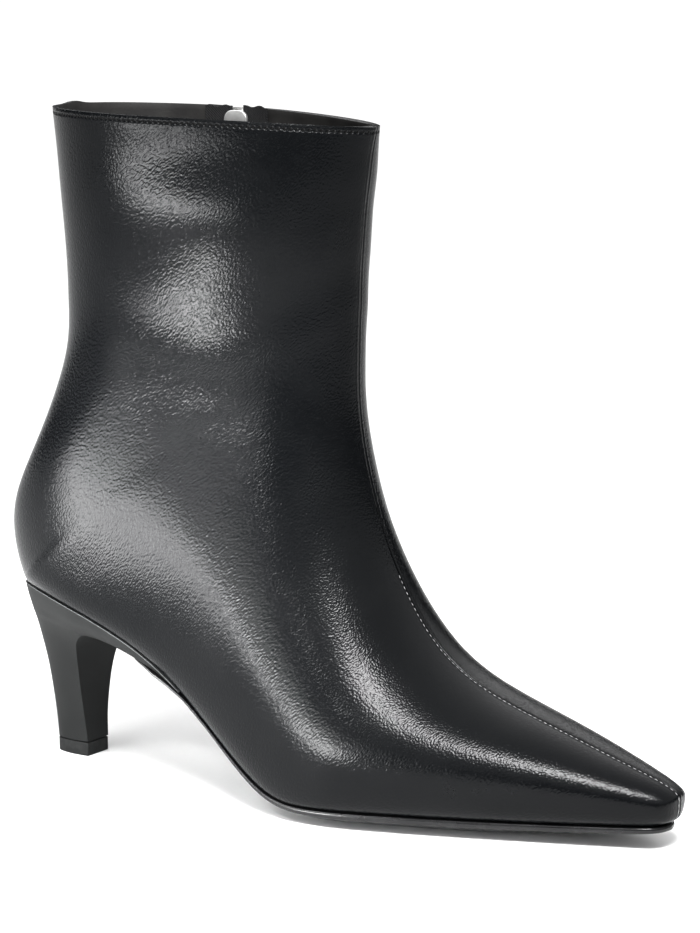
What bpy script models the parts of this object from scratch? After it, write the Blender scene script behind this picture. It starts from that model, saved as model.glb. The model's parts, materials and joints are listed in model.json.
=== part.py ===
"""Right kitten heel ankle boot in black leather: pointed toe, slim curved heel and an inside zip.

The boot stands on its top piece and forefoot at z = 0, with its toe along +X and its inner side
along +Y. Sizes are in millimetres, and become metres where a mesh is made.
"""

import math
from typing import NamedTuple

import bmesh
import bpy
import numpy as np
from mathutils import Matrix, Vector
from mathutils.bvhtree import BVHTree

MM = 0.001

# Driving sizes of the boot
LENGTH = 258.0
BALL_WIDTH = 82.0
HEEL_HEIGHT = 63.3
INSTEP_HEIGHT = 161.4
BACK_HEIGHT = 229.6
FRONT_HEIGHT = 224.8
WALL = 2.0
GAP = 0.3

# Sections of the foot, from the toe tip back to the heel point. Each lies in a plane that holds the
# Y direction, and runs from the feather line at its lower end to the centre front seam.
# Columns: name; sole_x, seam_x in % of LENGTH; sole_z in % of HEEL_HEIGHT; seam_z in % of
# INSTEP_HEIGHT; half widths at the feather line and at the widest, outer then inner side, in % of
# BALL_WIDTH; belly, the share of the height where it is widest; roundness below and above that.
FOOT = (
    # name       sole_x sole_z seam_x seam_z sole_out sole_in wide_out wide_in belly low   high
    ("tip",        98.0,  13.0,  98.0,   5.1,    0.0,    0.0,     0.0,    0.0, 0.40, 2.00, 2.00),
    ("tip_edge",   97.5,  13.0,  99.4,   6.8,    5.2,    5.2,     6.5,    6.5, 0.40, 2.00, 2.10),
    ("tip_top",    95.9,  12.8,  99.6,  10.2,    8.9,    8.9,    11.0,   11.6, 0.39, 2.00, 2.40),
    ("toe",        92.5,  12.2,  97.6,  12.9,   12.4,   12.4,    15.6,   16.6, 0.36, 2.00, 2.50),
    ("toe_box",    86.0,  11.5,  91.9,  16.0,   19.5,   18.9,    23.5,   26.2, 0.33, 2.10, 2.50),
    ("vamp",       75.9,  10.7,  83.0,  20.7,   30.5,   28.0,    35.4,   37.8, 0.31, 2.10, 2.40),
    ("joint",      64.7,  10.1,  72.5,  26.8,   41.5,   37.2,    47.0,   46.1, 0.31, 2.10, 2.20),
    ("ball",       54.6,   9.5,  64.5,  36.2,   47.6,   41.5,    53.0,   47.3, 0.32, 2.10, 2.00),
    ("waist",      46.5,  16.7,  58.8,  51.0,   44.5,   37.8,    50.6,   44.1, 0.34, 1.90, 1.85),
    ("arch",       36.9,  44.1,  55.5,  65.4,   37.8,   32.9,    46.3,   41.7, 0.38, 1.60, 1.75),
    ("shank",      26.7,  72.4,  53.8,  78.4,   34.1,   32.3,    43.7,   41.5, 0.40, 1.35, 1.75),
    ("seat",       15.0,  91.8,  53.4,  88.5,   32.7,   32.2,    42.1,   41.0, 0.41, 1.25, 1.80),
    ("seat_back",   6.5,  99.2,  53.5,  95.6,   24.4,   24.4,    41.2,   40.9, 0.41, 1.50, 1.87),
    ("seat_end",    3.2, 100.0,  53.5,  98.4,   14.0,   14.0,    41.0,   40.9, 0.41, 1.80, 1.92),
    ("heel",        2.0, 100.0,  53.6, 100.0,    0.0,    0.0,    40.9,   40.9, 0.41, 2.10, 1.95),
)

# Sections of the counter and shaft, up from the heel point. Their lower end is the back seam.
# Columns: name; back_x, seam_x in % of LENGTH; back_z in % of the way from HEEL_HEIGHT to
# BACK_HEIGHT; seam_z in % of the way from INSTEP_HEIGHT to FRONT_HEIGHT; half widths in % of
# BALL_WIDTH; belly, low and high as above; crown, how far the sides rise over a flat plane.
SHAFT = (
    # name       back_x back_z seam_x seam_z wide_out wide_in belly low   high  crown
    ("bulge",      -0.2,  11.0,  53.7,  13.4,   40.0,   41.0, 0.42, 2.15, 2.00, 0.0),
    ("counter",     2.6,  24.1,  53.8,  28.6,   40.1,   41.0, 0.43, 2.13, 2.00, 0.0),
    ("achilles",    7.3,  39.2,  54.1,  43.7,   41.2,   41.6, 0.44, 2.10, 1.93, 0.1),
    ("ankle",      10.0,  54.1,  54.4,  58.7,   42.7,   43.0, 0.44, 2.10, 1.87, 0.2),
    ("shaft",       9.8,  69.7,  54.9,  73.4,   43.5,   43.8, 0.44, 2.10, 1.87, 0.3),
    ("shaft_top",   9.0,  85.2,  55.4,  87.4,   43.9,   43.9, 0.42, 2.10, 1.80, 0.4),
    ("collar",      8.2, 100.0,  56.1, 100.0,   43.7,   43.7, 0.40, 2.10, 1.60, 0.6),
)
STEPS = 3
GIRTH_STEPS = 7
# Rows of the tables between which the heel is eased, and how much
EASE_FROM, EASE_TO = 11, 17
EASE_PASSES = 4


class Section(NamedTuple):
    """One section of the last, in millimetres."""

    sole_x: float
    sole_z: float
    seam_x: float
    seam_z: float
    sole_out: float
    sole_in: float
    wide_out: float
    wide_in: float
    belly: float
    low: float
    high: float
    crown: float


def key_sections():
    """The sections of both tables in millimetres."""
    rows = []
    for _, sole_x, sole_z, seam_x, seam_z, sole_out, sole_in, wide_out, wide_in, *form in FOOT:
        along = [sole_x * LENGTH, sole_z * HEEL_HEIGHT, seam_x * LENGTH, seam_z * INSTEP_HEIGHT]
        widths = [width * BALL_WIDTH for width in (sole_out, sole_in, wide_out, wide_in)]
        rows.append([size / 100 for size in along + widths] + form + [0.0])
    for _, back_x, back_z, seam_x, seam_z, wide_out, wide_in, *form in SHAFT:
        back = HEEL_HEIGHT + back_z / 100 * (BACK_HEIGHT - HEEL_HEIGHT)
        seam = INSTEP_HEIGHT + seam_z / 100 * (FRONT_HEIGHT - INSTEP_HEIGHT)
        widths = [0.0, 0.0, wide_out * BALL_WIDTH / 100, wide_in * BALL_WIDTH / 100]
        rows.append([back_x * LENGTH / 100, back, seam_x * LENGTH / 100, seam] + widths + form)
    return np.array(rows)


def spline(rows, steps):
    """Rows on a cubic spline through the given ones that never overshoots, in equal steps."""
    count = len(rows)
    links = np.diag(np.full(count, 4.0)) + np.eye(count, k=1) + np.eye(count, k=-1)
    links[0, 0] = links[-1, -1] = 2.0
    ahead = rows[np.minimum(np.arange(count) + 1, count - 1)]
    behind = rows[np.maximum(np.arange(count) - 1, 0)]
    slopes = np.linalg.solve(links, 3.0 * (ahead - behind))
    before = np.diff(rows, axis=0, prepend=2 * rows[:1] - rows[1:2])
    after = np.diff(rows, axis=0, append=2 * rows[-1:] - rows[-2:-1])
    bound = 3.0 * np.minimum(np.abs(before), np.abs(after))
    slopes = np.where(before * after > 0, np.clip(slopes, -bound, bound), 0.0)
    fine = []
    for k in range((count - 1) * steps + 1):
        i = min(k // steps, count - 2)
        t = k / steps - i
        chord = rows[i + 1] - rows[i]
        bend = (1 - t) * (slopes[i] - chord) - t * (slopes[i + 1] - chord)
        fine.append(rows[i] + t * chord + t * (1 - t) * bend)
    return np.array(fine)


def last_sections(steps):
    """Sections of the whole last. The feather line's widths end at the heel point."""
    keys = key_sections()
    fine = spline(keys, steps)
    foot = (len(FOOT) - 1) * steps + 1
    fine[:foot, 4:6] = np.maximum(spline(keys[: len(FOOT), 4:6], steps), 0.0)
    fine[foot - 1 :, 4:6] = 0.0
    fine[0, 2:8] = (fine[0, 0], fine[0, 1], 0.0, 0.0, 0.0, 0.0)
    return [Section(*row) for row in fine]


def half_girth(row, sole_width, wide_width):
    """How far up the section's plane and out from the middle one side's points lie."""
    turn = np.linspace(0.0, math.pi / 2, GIRTH_STEPS + 1)
    sine = np.sin(turn)
    cosine = np.append(np.cos(turn[:-1]), 0.0)
    low_up = row.belly * (1 - cosine ** (2 / row.low))
    low_out = sole_width + (wide_width - sole_width) * sine ** (2 / row.low)
    high_up = row.belly + (1 - row.belly) * sine ** (2 / row.high)
    high_out = wide_width * cosine ** (2 / row.high)
    return np.append(low_up, high_up[1:]), np.append(low_out, high_out[1:])


def girth(row):
    """Points of one section, from the outer feather line over the front seam to the inner one."""
    sides = []
    for side, sole_width, wide_width in (
        (-1, row.sole_out, row.wide_out),
        (1, row.sole_in, row.wide_in),
    ):
        up, out = half_girth(row, sole_width, wide_width)
        x = row.sole_x + up * (row.seam_x - row.sole_x)
        z = row.sole_z + up * (row.seam_z - row.sole_z) + row.crown * np.sin(math.pi * up)
        sides.append(np.stack([x, side * out, z], axis=1))
    return np.concatenate([sides[0], sides[1][-2::-1]])


def last_grid(sections, steps):
    """Points of all sections, eased wider low down where the heel seat turns up into the back."""
    grid = np.array([girth(row) for row in sections])
    from_seam = np.arange(1, grid.shape[1] - 1) - 2 * GIRTH_STEPS
    low_down = np.sign(from_seam) * np.minimum(np.abs(from_seam) / GIRTH_STEPS, 1.0)
    width = grid[EASE_FROM * steps : EASE_TO * steps, 1:-1, 1]
    for _ in range(EASE_PASSES * steps):
        eased = (width[:-2] + 2 * width[1:-1] + width[2:]) / 4
        wider = np.maximum(np.abs(eased) - np.abs(width[1:-1]), 0.0)
        width[1:-1] += low_down * wider
    return grid


SECTIONS = last_sections(STEPS)
LAST = last_grid(SECTIONS, STEPS)
FOOT_SECTIONS = SECTIONS[: (len(FOOT) - 1) * STEPS + 1]


def outline(sections, margin):
    """The feather line's outer and inner edges from the toe tip back, moved out by margin."""
    inner = [(row.sole_x, row.sole_in) for row in sections[:0:-1]]
    outer = [(row.sole_x, -row.sole_out) for row in sections]
    points = np.array(inner + outer)
    along = np.gradient(points, axis=0)
    along /= np.linalg.norm(along, axis=1)[:, None]
    margins = np.broadcast_to(margin, len(sections))
    margins = np.append(margins[:0:-1], margins)[:, None]
    moved = points + margins * np.stack([-along[:, 1], along[:, 0]], axis=1)
    tip = len(inner)
    return moved[tip:], moved[tip::-1]


def feather_z(x):
    """Height of the feather line at x."""
    rows = FOOT_SECTIONS[::-1]
    return np.interp(x, [row.sole_x for row in rows], [row.sole_z for row in rows])


# Meshes and finishes


def finish(name, colour, roughness, metallic=0.0):
    material = bpy.data.materials.new(name)
    material.use_nodes = True
    shader = material.node_tree.nodes["Principled BSDF"]
    shader.inputs["Base Color"].default_value = (*colour, 1.0)
    shader.inputs["Roughness"].default_value = roughness
    shader.inputs["Metallic"].default_value = metallic
    return material


def clear_scene():
    for item in list(bpy.data.objects):
        bpy.data.objects.remove(item, do_unlink=True)


def group(name, hidden=False):
    collection = bpy.data.collections.new(name)
    collection.hide_render = hidden
    bpy.context.scene.collection.children.link(collection)
    return collection


def mesh_object(name, shape, collection, material=None, sharp=math.radians(40)):
    """An object from a bmesh in millimetres, with coincident points welded."""
    bmesh.ops.remove_doubles(shape, verts=shape.verts, dist=1e-4)
    bmesh.ops.scale(shape, vec=(MM, MM, MM), verts=shape.verts)
    mesh = bpy.data.meshes.new(name)
    shape.to_mesh(mesh)
    shape.free()
    mesh.shade_smooth()
    mesh.set_sharp_from_angle(angle=sharp)
    item = bpy.data.objects.new(name, mesh)
    if material:
        mesh.materials.append(material)
    collection.objects.link(item)
    return item


def grid_faces(shape, grid, wrap=False):
    """Quads between the neighbouring points of a grid of rows."""
    points = [[shape.verts.new(point) for point in row] for row in grid]
    across = len(points[0])
    for near, far in zip(points, points[1:]):
        for j in range(across if wrap else across - 1):
            k = (j + 1) % across
            shape.faces.new((near[j], near[k], far[k], far[j]))
    return points


def loft(rings):
    """A closed body through rings of points, its two ends closed by strips across them."""
    shape = bmesh.new()
    points = grid_faces(shape, rings, wrap=True)
    for ring in (points[0], points[-1]):
        for i in range(len(ring) // 2 - 1):
            shape.faces.new((ring[i], ring[i + 1], ring[-2 - i], ring[-1 - i]))
    bmesh.ops.remove_doubles(shape, verts=shape.verts, dist=1e-4)
    bmesh.ops.dissolve_degenerate(shape, dist=1e-5, edges=shape.edges)
    bmesh.ops.recalc_face_normals(shape, faces=shape.faces)
    return shape


def extrude(points, along):
    """A closed body from a flat face's points, spread along a direction."""
    shape = bmesh.new()
    face = shape.faces.new([shape.verts.new(point) for point in points])
    grown = bmesh.ops.extrude_face_region(shape, geom=[face])["geom"]
    moved = [item for item in grown if isinstance(item, bmesh.types.BMVert)]
    bmesh.ops.translate(shape, vec=along, verts=moved)
    bmesh.ops.recalc_face_normals(shape, faces=shape.faces)
    return shape


def boolean(item, other, operation):
    modifier = item.modifiers.new(other.name, "BOOLEAN")
    modifier.object = other
    modifier.operation = operation
    other.display_type = "WIRE"
    other.hide_render = True


# The boot's pieces


ZIP_X = 68.0
ZIP_LOW = 92.0
SLIT_WIDTH = 7.6


def make_upper(parts, cutters, leather):
    """The leather wall over the last, open at the collar and underneath, with the zip's slit."""
    shape = bmesh.new()
    grid_faces(shape, LAST)
    upper = mesh_object("upper", shape, parts, leather)
    wall = upper.modifiers.new("wall", "SOLIDIFY")
    wall.thickness = WALL * MM
    wall.offset = -1.0
    radius = SLIT_WIDTH / 2
    round_end = [math.radians(angle) for angle in range(180, 361, 15)]
    profile = [(radius * math.cos(a), ZIP_LOW + radius * math.sin(a)) for a in round_end]
    profile += [(radius, BACK_HEIGHT + SLIT_WIDTH), (-radius, BACK_HEIGHT + SLIT_WIDTH)]
    slit = extrude([(ZIP_X + x, BALL_WIDTH / 4, z) for x, z in profile], (0.0, BALL_WIDTH / 2, 0.0))
    boolean(upper, mesh_object("zip_slit", slit, cutters), "DIFFERENCE")
    return upper


INSOLE_THICKNESS = 2.2
INSOLE_CLEARANCE = 1.5
INSOLE_TOE_ROWS = 6
INSOLE_HEEL_ROWS = 2


def make_insole(parts, board):
    """The insole inside the upper's lower edge, from the heel to just short of the toe tip."""
    inset = []
    for row in FOOT_SECTIONS:
        up, out = half_girth(row, row.sole_out, row.wide_out)
        rise = up[1] * math.hypot(row.seam_x - row.sole_x, row.seam_z - row.sole_z)
        lean = out[1] - out[0]
        inset.append(INSOLE_CLEARANCE + WALL * rise / max(math.hypot(rise, lean), GAP))
    edges = zip(*outline(FOOT_SECTIONS, -np.array(inset)), FOOT_SECTIONS)
    rings = []
    for outer, inner, row in list(edges)[INSOLE_TOE_ROWS:-INSOLE_HEEL_ROWS]:
        low = feather_z(row.sole_x)
        top = low + INSOLE_THICKNESS
        rings.append([(*outer, low), (*outer, top), (*inner, top), (*inner, low)])
    return mesh_object("insole", loft(rings), parts, board)


# Heel sections, each a share of the way down from the seat to the top piece. The front runs out
# along the arch as a lip at the top, and drops down the breast below it.
HEEL_LIFT = 5.2
HEEL_MARGIN = 1.1
HEEL = (
    # down back_x front_x half_out half_in stem square
    (0.00,  3.6,   80.0,   27.5,   27.0,  0.0,  2.3),
    (0.04,  3.9,   74.0,   27.2,   26.7,  0.0,  2.3),
    (0.08,  4.4,   62.0,   26.0,   25.5,  0.1,  2.3),
    (0.11,  4.8,   50.5,   23.5,   23.0,  0.3,  2.3),
    (0.14,  5.2,   42.5,   21.0,   20.5,  0.6,  2.3),
    (0.17,  5.6,   37.0,   19.0,   18.6,  0.8,  2.3),
    (0.21,  6.0,   33.5,   17.2,   16.9,  1.0,  2.3),
    (0.27,  6.6,   31.0,   15.4,   15.2,  1.0,  2.3),
    (0.36,  7.6,   29.6,   13.3,   13.2,  1.0,  2.3),
    (0.52,  9.4,   28.4,   10.4,   10.3,  1.0,  2.3),
    (0.70, 11.0,   28.0,    8.2,    8.2,  1.0,  2.4),
    (0.85, 12.2,   28.2,    6.8,    6.8,  1.0,  2.6),
    (1.00, 13.0,   28.8,    6.0,    6.0,  1.0,  2.8),
)
HEEL_STEPS = 2
HEEL_ROWS = spline(np.array(HEEL), HEEL_STEPS)
HEEL_POINTS = 18


def heel_ring(down, back_x, front_x, half_out, half_in, stem, square, seat_gap=GAP):
    """One D shaped heel section, from its outer front corner round the back to its inner one."""
    turn = np.linspace(-math.pi / 2, math.pi / 2, 2 * HEEL_POINTS)
    x = front_x - (front_x - back_x) * np.cos(turn) ** (2 / square)
    side = np.sign(turn) * np.abs(np.sin(turn)) ** (2 / square)
    rows = FOOT_SECTIONS[::-1]
    foot_x = [row.sole_x - HEEL_MARGIN for row in rows]
    seat_out = np.interp(x, foot_x, [row.sole_out for row in rows]) + HEEL_MARGIN
    seat_in = np.interp(x, foot_x, [row.sole_in for row in rows]) + HEEL_MARGIN
    seat = np.where(turn < 0, -seat_out, seat_in)
    y = (1 - stem) * seat + stem * side * np.where(turn < 0, half_out, half_in)
    z = (feather_z(x) - seat_gap) * (1 - down) + HEEL_LIFT * down
    return np.stack([x, y, z], axis=1)


def make_heel(parts, cover):
    """The leather covered heel, its top on the seat and its lip under the arch."""
    rings = [heel_ring(*row) for row in HEEL_ROWS]
    return mesh_object("heel", loft(rings), parts, cover)


def make_top_piece(parts, rubber):
    """The flat rubber tip under the heel."""
    tip = heel_ring(*HEEL_ROWS[-1])
    rings = []
    for z in (0.0, HEEL_LIFT - GAP):
        ring = tip.copy()
        ring[:, 2] = z
        rings.append(ring)
    return mesh_object("top_piece", loft(rings), parts, rubber)


# Outsole: its thickness at the edge along the foot, and the flat it stands on.
SOLE_EDGE = (
    # x in % of LENGTH, thickness
    (14.0, 1.0),
    (37.0, 1.1),
    (50.0, 1.8),
    (60.0, 2.4),
    (92.0, 2.2),
    (99.0, 1.8),
)
SOLE_MARGIN = 1.0
SOLE_ROUND = 0.5
SOLE_BACK_X = 46.0
LIP_KEYS = 5
FLAT_FROM, FLAT_TO = 147.0, 196.0
FLAT_FADE = 34.0
EDGE_ROLL = 16.0
LEAST_FLAT = 0.25


def lip_drop(x):
    """How far the heel's lip lies under the feather line at x, and nothing in front of it."""
    lip = HEEL_ROWS[: LIP_KEYS * HEEL_STEPS + 1][::-1]
    down = np.interp(x, lip[:, 2], lip[:, 0], right=0.0)
    return down * (feather_z(x) - HEEL_LIFT) + (GAP if down > 0 else 0.0)


def sole_flat(x):
    """One where the sole lies flat on the floor, falling smoothly to nothing past both ends."""
    away = np.clip(max(FLAT_FROM - x, x - FLAT_TO) / FLAT_FADE, 0.0, 1.0)
    return 1 - away * away * (3 - 2 * away)


def make_outsole(parts, rubber):
    """The thin outsole from the toe to the heel breast, crowned across, flat under the ball."""
    sections = [row for row in FOOT_SECTIONS if row.sole_x > SOLE_BACK_X]
    margins = {"top": SOLE_MARGIN, "side": SOLE_MARGIN + SOLE_ROUND, "low": SOLE_MARGIN}
    edges = {name: outline(sections, margin) for name, margin in margins.items()}
    rings = []
    for i, row in enumerate(sections):
        thickness = np.interp(row.sole_x, *zip(*[(x * LENGTH / 100, t) for x, t in SOLE_EDGE]))
        top_z = row.sole_z - GAP - lip_drop(row.sole_x)
        low_z = top_z - thickness
        middle_z = low_z * (1 - sole_flat(row.sole_x))
        heights = {"top": top_z, "side": (top_z + low_z) / 2, "low": low_z}
        outer = [(*edges[name][0][i], heights[name]) for name in edges]
        inner = [(*edges[name][1][i], heights[name]) for name in edges]
        under = []
        for end, order in ((outer[-1], (0.5, 0.0)), (inner[-1], (0.0, 0.5))):
            flat = max(1 - EDGE_ROLL / max(abs(end[1]), GAP), LEAST_FLAT)
            for rise in order:
                share = flat + (1 - flat) * rise
                under.append((end[0], share * end[1], middle_z + (low_z - middle_z) * rise**2))
        rings.append(outer + under + inner[::-1])
    return mesh_object("outsole", loft(rings), parts, rubber)


# The zip in the inner side of the shaft
TAPE_THICKNESS = 0.7
TAPE_REACH = 13.0
TAPE_RISE = 1.4
CHAIN_HALF = 2.2
CHAIN_DEPTH = (0.2, 2.3)
ZIP_STATIONS = 14
SLIDER_HALF_HEIGHT = 5.5
SLIDER_HALF_WIDTH = 4.5
SLIDER_CORNER = 1.6
SLIDER_FRONT = (0.3, 1.7)
SLIDER_BACK = (-5.0, -3.6)
POST_HALF_WIDTH = 1.6
POST_LOW = 2.4
CROWN_HALF_WIDTH = 1.0
# The crown's outer and inner edges, as (out from the skin, up) from the slider's middle
CROWN_OUTER = (
    (1.5, -3.5),
    (2.4, -3.5),
    (3.9, -2.6),
    (4.4, -1.0),
    (4.4, 1.0),
    (3.9, 2.6),
    (2.4, 3.2),
    (1.5, 3.2),
)
CROWN_INNER = (
    (1.5, 2.0),
    (2.6, 2.0),
    (3.2, 1.2),
    (3.2, -1.4),
    (2.6, -2.3),
    (1.5, -2.3),
)
PIVOT_OUT, PIVOT_UP = 2.45, -1.0
PIN_RADIUS = 0.5
PIN_SIDES = 12
ARM_INSIDE, ARM_OUTSIDE = 1.4, 2.6
ARM_LAP = 1.0
TAB_HALF_WIDTH = 3.2
TAB_THICKNESS = 1.0
TAB_TOP, TAB_END = 6.0, 25.0
TAB_CORNER = 2.0
HOLE_RADIUS = 1.3
HOLE_SIDES = 16
HOLE_DOWN = 21.0


class Skin:
    """The upper's outer surface carried on past the collar, met along a line from the inner side."""

    def __init__(self):
        shape = bmesh.new()
        grid_faces(shape, np.append(LAST, [2 * LAST[-1] - LAST[-2]], axis=0))
        bmesh.ops.triangulate(shape, faces=shape.faces)
        self.tree = BVHTree.FromBMesh(shape)
        shape.free()

    def at(self, x, z):
        """The point on the inner side at x and z, and the outward normal there."""
        point, normal, _, _ = self.tree.ray_cast(Vector((x, 2 * BALL_WIDTH, z)), Vector((0.0, -1.0, 0.0)))
        return point, normal if normal.y > 0 else -normal

    def strip(self, across, depth, z_from, z_to):
        """A closed strip along the zip, across a range of x and between two depths under the skin."""
        rings = []
        for z in np.linspace(z_from, z_to, ZIP_STATIONS):
            met = [self.at(ZIP_X + offset, z) for offset in across]
            outer = [point - normal * depth[0] for point, normal in met]
            inner = [point - normal * depth[1] for point, normal in met]
            rings.append(outer + inner[::-1])
        return loft(rings)


def collar_z(x):
    """Height of the collar's inner side at x."""
    rim = LAST[-1, 2 * GIRTH_STEPS :]
    return float(np.interp(x, rim[::-1, 0], rim[::-1, 2]))


def rounded(half_width, low, high, corner):
    """A rectangle's (x, z) outline with rounded corners."""
    points = []
    for centre_x, centre_z, start in (
        (half_width - corner, high - corner, 0),
        (corner - half_width, high - corner, 90),
        (corner - half_width, low + corner, 180),
        (half_width - corner, low + corner, 270),
    ):
        for angle in range(start, start + 91, 30):
            turn = math.radians(angle)
            points.append((centre_x + corner * math.cos(turn), centre_z + corner * math.sin(turn)))
    return points


def plate(profile, near, far):
    """A closed body from a flat profile of (x, z) points, spread along Y."""
    return extrude([(x, near, z) for x, z in profile], (0.0, far - near, 0.0))


def circle(radius, sides, down=0.0):
    """A circle's outline around a point some way down from the origin."""
    turns = [2 * math.pi * i / sides for i in range(sides)]
    return [(radius * math.cos(turn), radius * math.sin(turn) - down) for turn in turns]


def make_slider(parts, cutters, metal, frame):
    """The slider: two plates joined by a post at the top, with a crown that holds the pull tab."""
    half = SLIDER_HALF_HEIGHT
    body = rounded(SLIDER_HALF_WIDTH, -half, half, SLIDER_CORNER)
    post = [(x, z) for x in (-POST_HALF_WIDTH, POST_HALF_WIDTH) for z in (POST_LOW, half - GAP)]
    post = [post[0], post[2], post[3], post[1]]
    crown = [(-CROWN_HALF_WIDTH, y, z) for y, z in CROWN_OUTER + CROWN_INNER]
    slider = mesh_object("zip_slider", plate(body, *SLIDER_FRONT), parts, metal)
    added = (
        ("slider_back", plate(body, *SLIDER_BACK)),
        ("slider_post", plate(post, SLIDER_BACK[1] - GAP, SLIDER_FRONT[0] + GAP)),
        ("slider_crown", extrude(crown, (2 * CROWN_HALF_WIDTH, 0.0, 0.0))),
    )
    slider.matrix_world = frame
    for name, shape in added:
        piece = mesh_object(name, shape, cutters)
        piece.matrix_world = frame
        boolean(slider, piece, "UNION")
    return slider


def make_pull(parts, cutters, metal, frame):
    """The pull tab, with two arms on a pin through the crown. Its origin is on the pin's axis."""
    half = TAB_THICKNESS / 2
    tab = mesh_object(
        "zip_pull",
        plate(rounded(TAB_HALF_WIDTH, -TAB_END, -TAB_TOP, TAB_CORNER), -half, half),
        parts,
        metal,
    )
    pin = [(-ARM_OUTSIDE, y, z) for y, z in circle(PIN_RADIUS, PIN_SIDES)]
    pieces = [("pull_pin", extrude(pin, (2 * ARM_OUTSIDE, 0.0, 0.0)), "UNION")]
    arm_low = -TAB_TOP - ARM_LAP
    for name, side in (("pull_arm_back", -1), ("pull_arm_front", 1)):
        inside, outside = side * ARM_INSIDE, side * ARM_OUTSIDE
        bar = [(inside, PIN_RADIUS), (outside, PIN_RADIUS), (outside, arm_low), (inside, arm_low)]
        pieces.append((name, plate(bar, -half, half), "UNION"))
    hole = circle(HOLE_RADIUS, HOLE_SIDES, HOLE_DOWN)
    pieces.append(("pull_hole", plate(hole, -TAB_THICKNESS, TAB_THICKNESS), "DIFFERENCE"))
    tab.matrix_world = frame
    for name, shape, operation in pieces:
        piece = mesh_object(name, shape, cutters)
        piece.matrix_world = frame
        boolean(tab, piece, operation)
    return tab


def make_zip(parts, cutters, tape, metal):
    """Two woven tapes behind the slit, the closed chain between them, the slider and its pull tab."""
    skin = Skin()
    top = collar_z(ZIP_X)
    tape_depth = (WALL + GAP, WALL + GAP + TAPE_THICKNESS)
    reach = np.linspace(CHAIN_HALF + GAP, TAPE_REACH, 4)
    for name, across in (("zip_tape_back", -reach[::-1]), ("zip_tape_front", reach)):
        strip = skin.strip(across, tape_depth, ZIP_LOW - SLIT_WIDTH, top + TAPE_RISE)
        mesh_object(name, strip, parts, tape)
    middle = top - SLIDER_HALF_HEIGHT
    chain_top = middle + POST_LOW - GAP
    chain = skin.strip((-CHAIN_HALF, CHAIN_HALF), CHAIN_DEPTH, ZIP_LOW + GAP, chain_top)
    mesh_object("zip_chain", chain, parts, metal)

    seat, out = skin.at(ZIP_X, middle)
    up = (skin.at(ZIP_X, top)[0] - seat).normalized()
    across = out.cross(up).normalized()
    turn = Matrix((across, up.cross(across), up)).transposed().to_4x4()
    frame = Matrix.Translation(seat * MM) @ turn
    pivot = Matrix.Translation(Vector((0.0, PIVOT_OUT, PIVOT_UP)) * MM)
    make_slider(parts, cutters, metal, frame)
    make_pull(parts, cutters, metal, frame @ pivot)


# The whole boot


def centre(parts, cutters):
    """Moves the boot so that the middle of its box's bottom is at the origin."""
    bpy.context.view_layer.update()
    graph = bpy.context.evaluated_depsgraph_get()
    corners = []
    for item in parts.objects:
        box = item.evaluated_get(graph).bound_box
        corners += [item.matrix_world @ Vector(corner) for corner in box]
    corners = np.array(corners)
    middle = (corners.min(axis=0) + corners.max(axis=0)) / 2
    boot = bpy.data.objects.new("boot", None)
    boot.location = (-middle[0], -middle[1], -corners[:, 2].min())
    pieces = list(parts.objects) + list(cutters.objects)
    parts.objects.link(boot)
    for item in pieces:
        item.parent = boot


def main():
    clear_scene()
    parts = group("kitten_heel_ankle_boot")
    cutters = group("cutters", hidden=True)
    leather = finish("black_leather", (0.012, 0.012, 0.014), 0.42)
    board = finish("insole_leather", (0.03, 0.028, 0.027), 0.7)
    rubber = finish("sole_rubber", (0.015, 0.015, 0.016), 0.35)
    tape = finish("zip_tape", (0.015, 0.015, 0.016), 0.85)
    metal = finish("zip_metal", (0.75, 0.75, 0.74), 0.25, 1.0)
    make_upper(parts, cutters, leather)
    make_insole(parts, board)
    make_heel(parts, leather)
    make_top_piece(parts, rubber)
    make_outsole(parts, rubber)
    make_zip(parts, cutters, tape, metal)
    centre(parts, cutters)


main()
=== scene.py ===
"""Looks of the right kitten heel ankle boot: smooth black leather, thin sole, covered heel and zip.

Sizes are in millimetres on the boot's own axes, and become metres in the row frame where a mesh is made.
"""

import json
import math
from typing import NamedTuple

import bmesh
import bpy
import numpy as np
from mathutils import Matrix, Vector
from mathutils.bvhtree import BVHTree


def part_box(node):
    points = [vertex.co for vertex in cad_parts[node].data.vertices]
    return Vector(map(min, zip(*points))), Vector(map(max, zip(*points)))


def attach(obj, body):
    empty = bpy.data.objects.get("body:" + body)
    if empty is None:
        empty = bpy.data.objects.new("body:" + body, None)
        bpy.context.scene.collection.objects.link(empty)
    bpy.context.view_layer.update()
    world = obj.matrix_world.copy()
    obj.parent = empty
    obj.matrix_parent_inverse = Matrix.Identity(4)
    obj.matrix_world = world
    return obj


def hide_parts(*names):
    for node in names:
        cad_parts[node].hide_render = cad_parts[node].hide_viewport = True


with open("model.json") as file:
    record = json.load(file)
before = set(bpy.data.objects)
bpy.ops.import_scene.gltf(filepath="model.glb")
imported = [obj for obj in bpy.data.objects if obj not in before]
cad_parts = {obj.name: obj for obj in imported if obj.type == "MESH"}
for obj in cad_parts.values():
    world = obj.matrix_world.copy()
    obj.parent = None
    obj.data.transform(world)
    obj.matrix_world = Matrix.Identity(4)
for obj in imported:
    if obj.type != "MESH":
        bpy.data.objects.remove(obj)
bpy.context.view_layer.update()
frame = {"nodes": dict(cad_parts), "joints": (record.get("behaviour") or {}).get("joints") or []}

# The upper: two halves of smooth calf leather over a lining, lasted over a pointed form.
# They meet in a closed seam down the centre front and another down the back, and the edge at
# the collar is folded in and stitched down.

LENGTH = 258.0
BALL_WIDTH = 82.0
HEEL_HEIGHT = 63.3
INSTEP_HEIGHT = 161.4
BACK_HEIGHT = 229.6
FRONT_HEIGHT = 224.8
WALL = 2.0
GAP = 0.3
MM = 0.001

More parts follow.
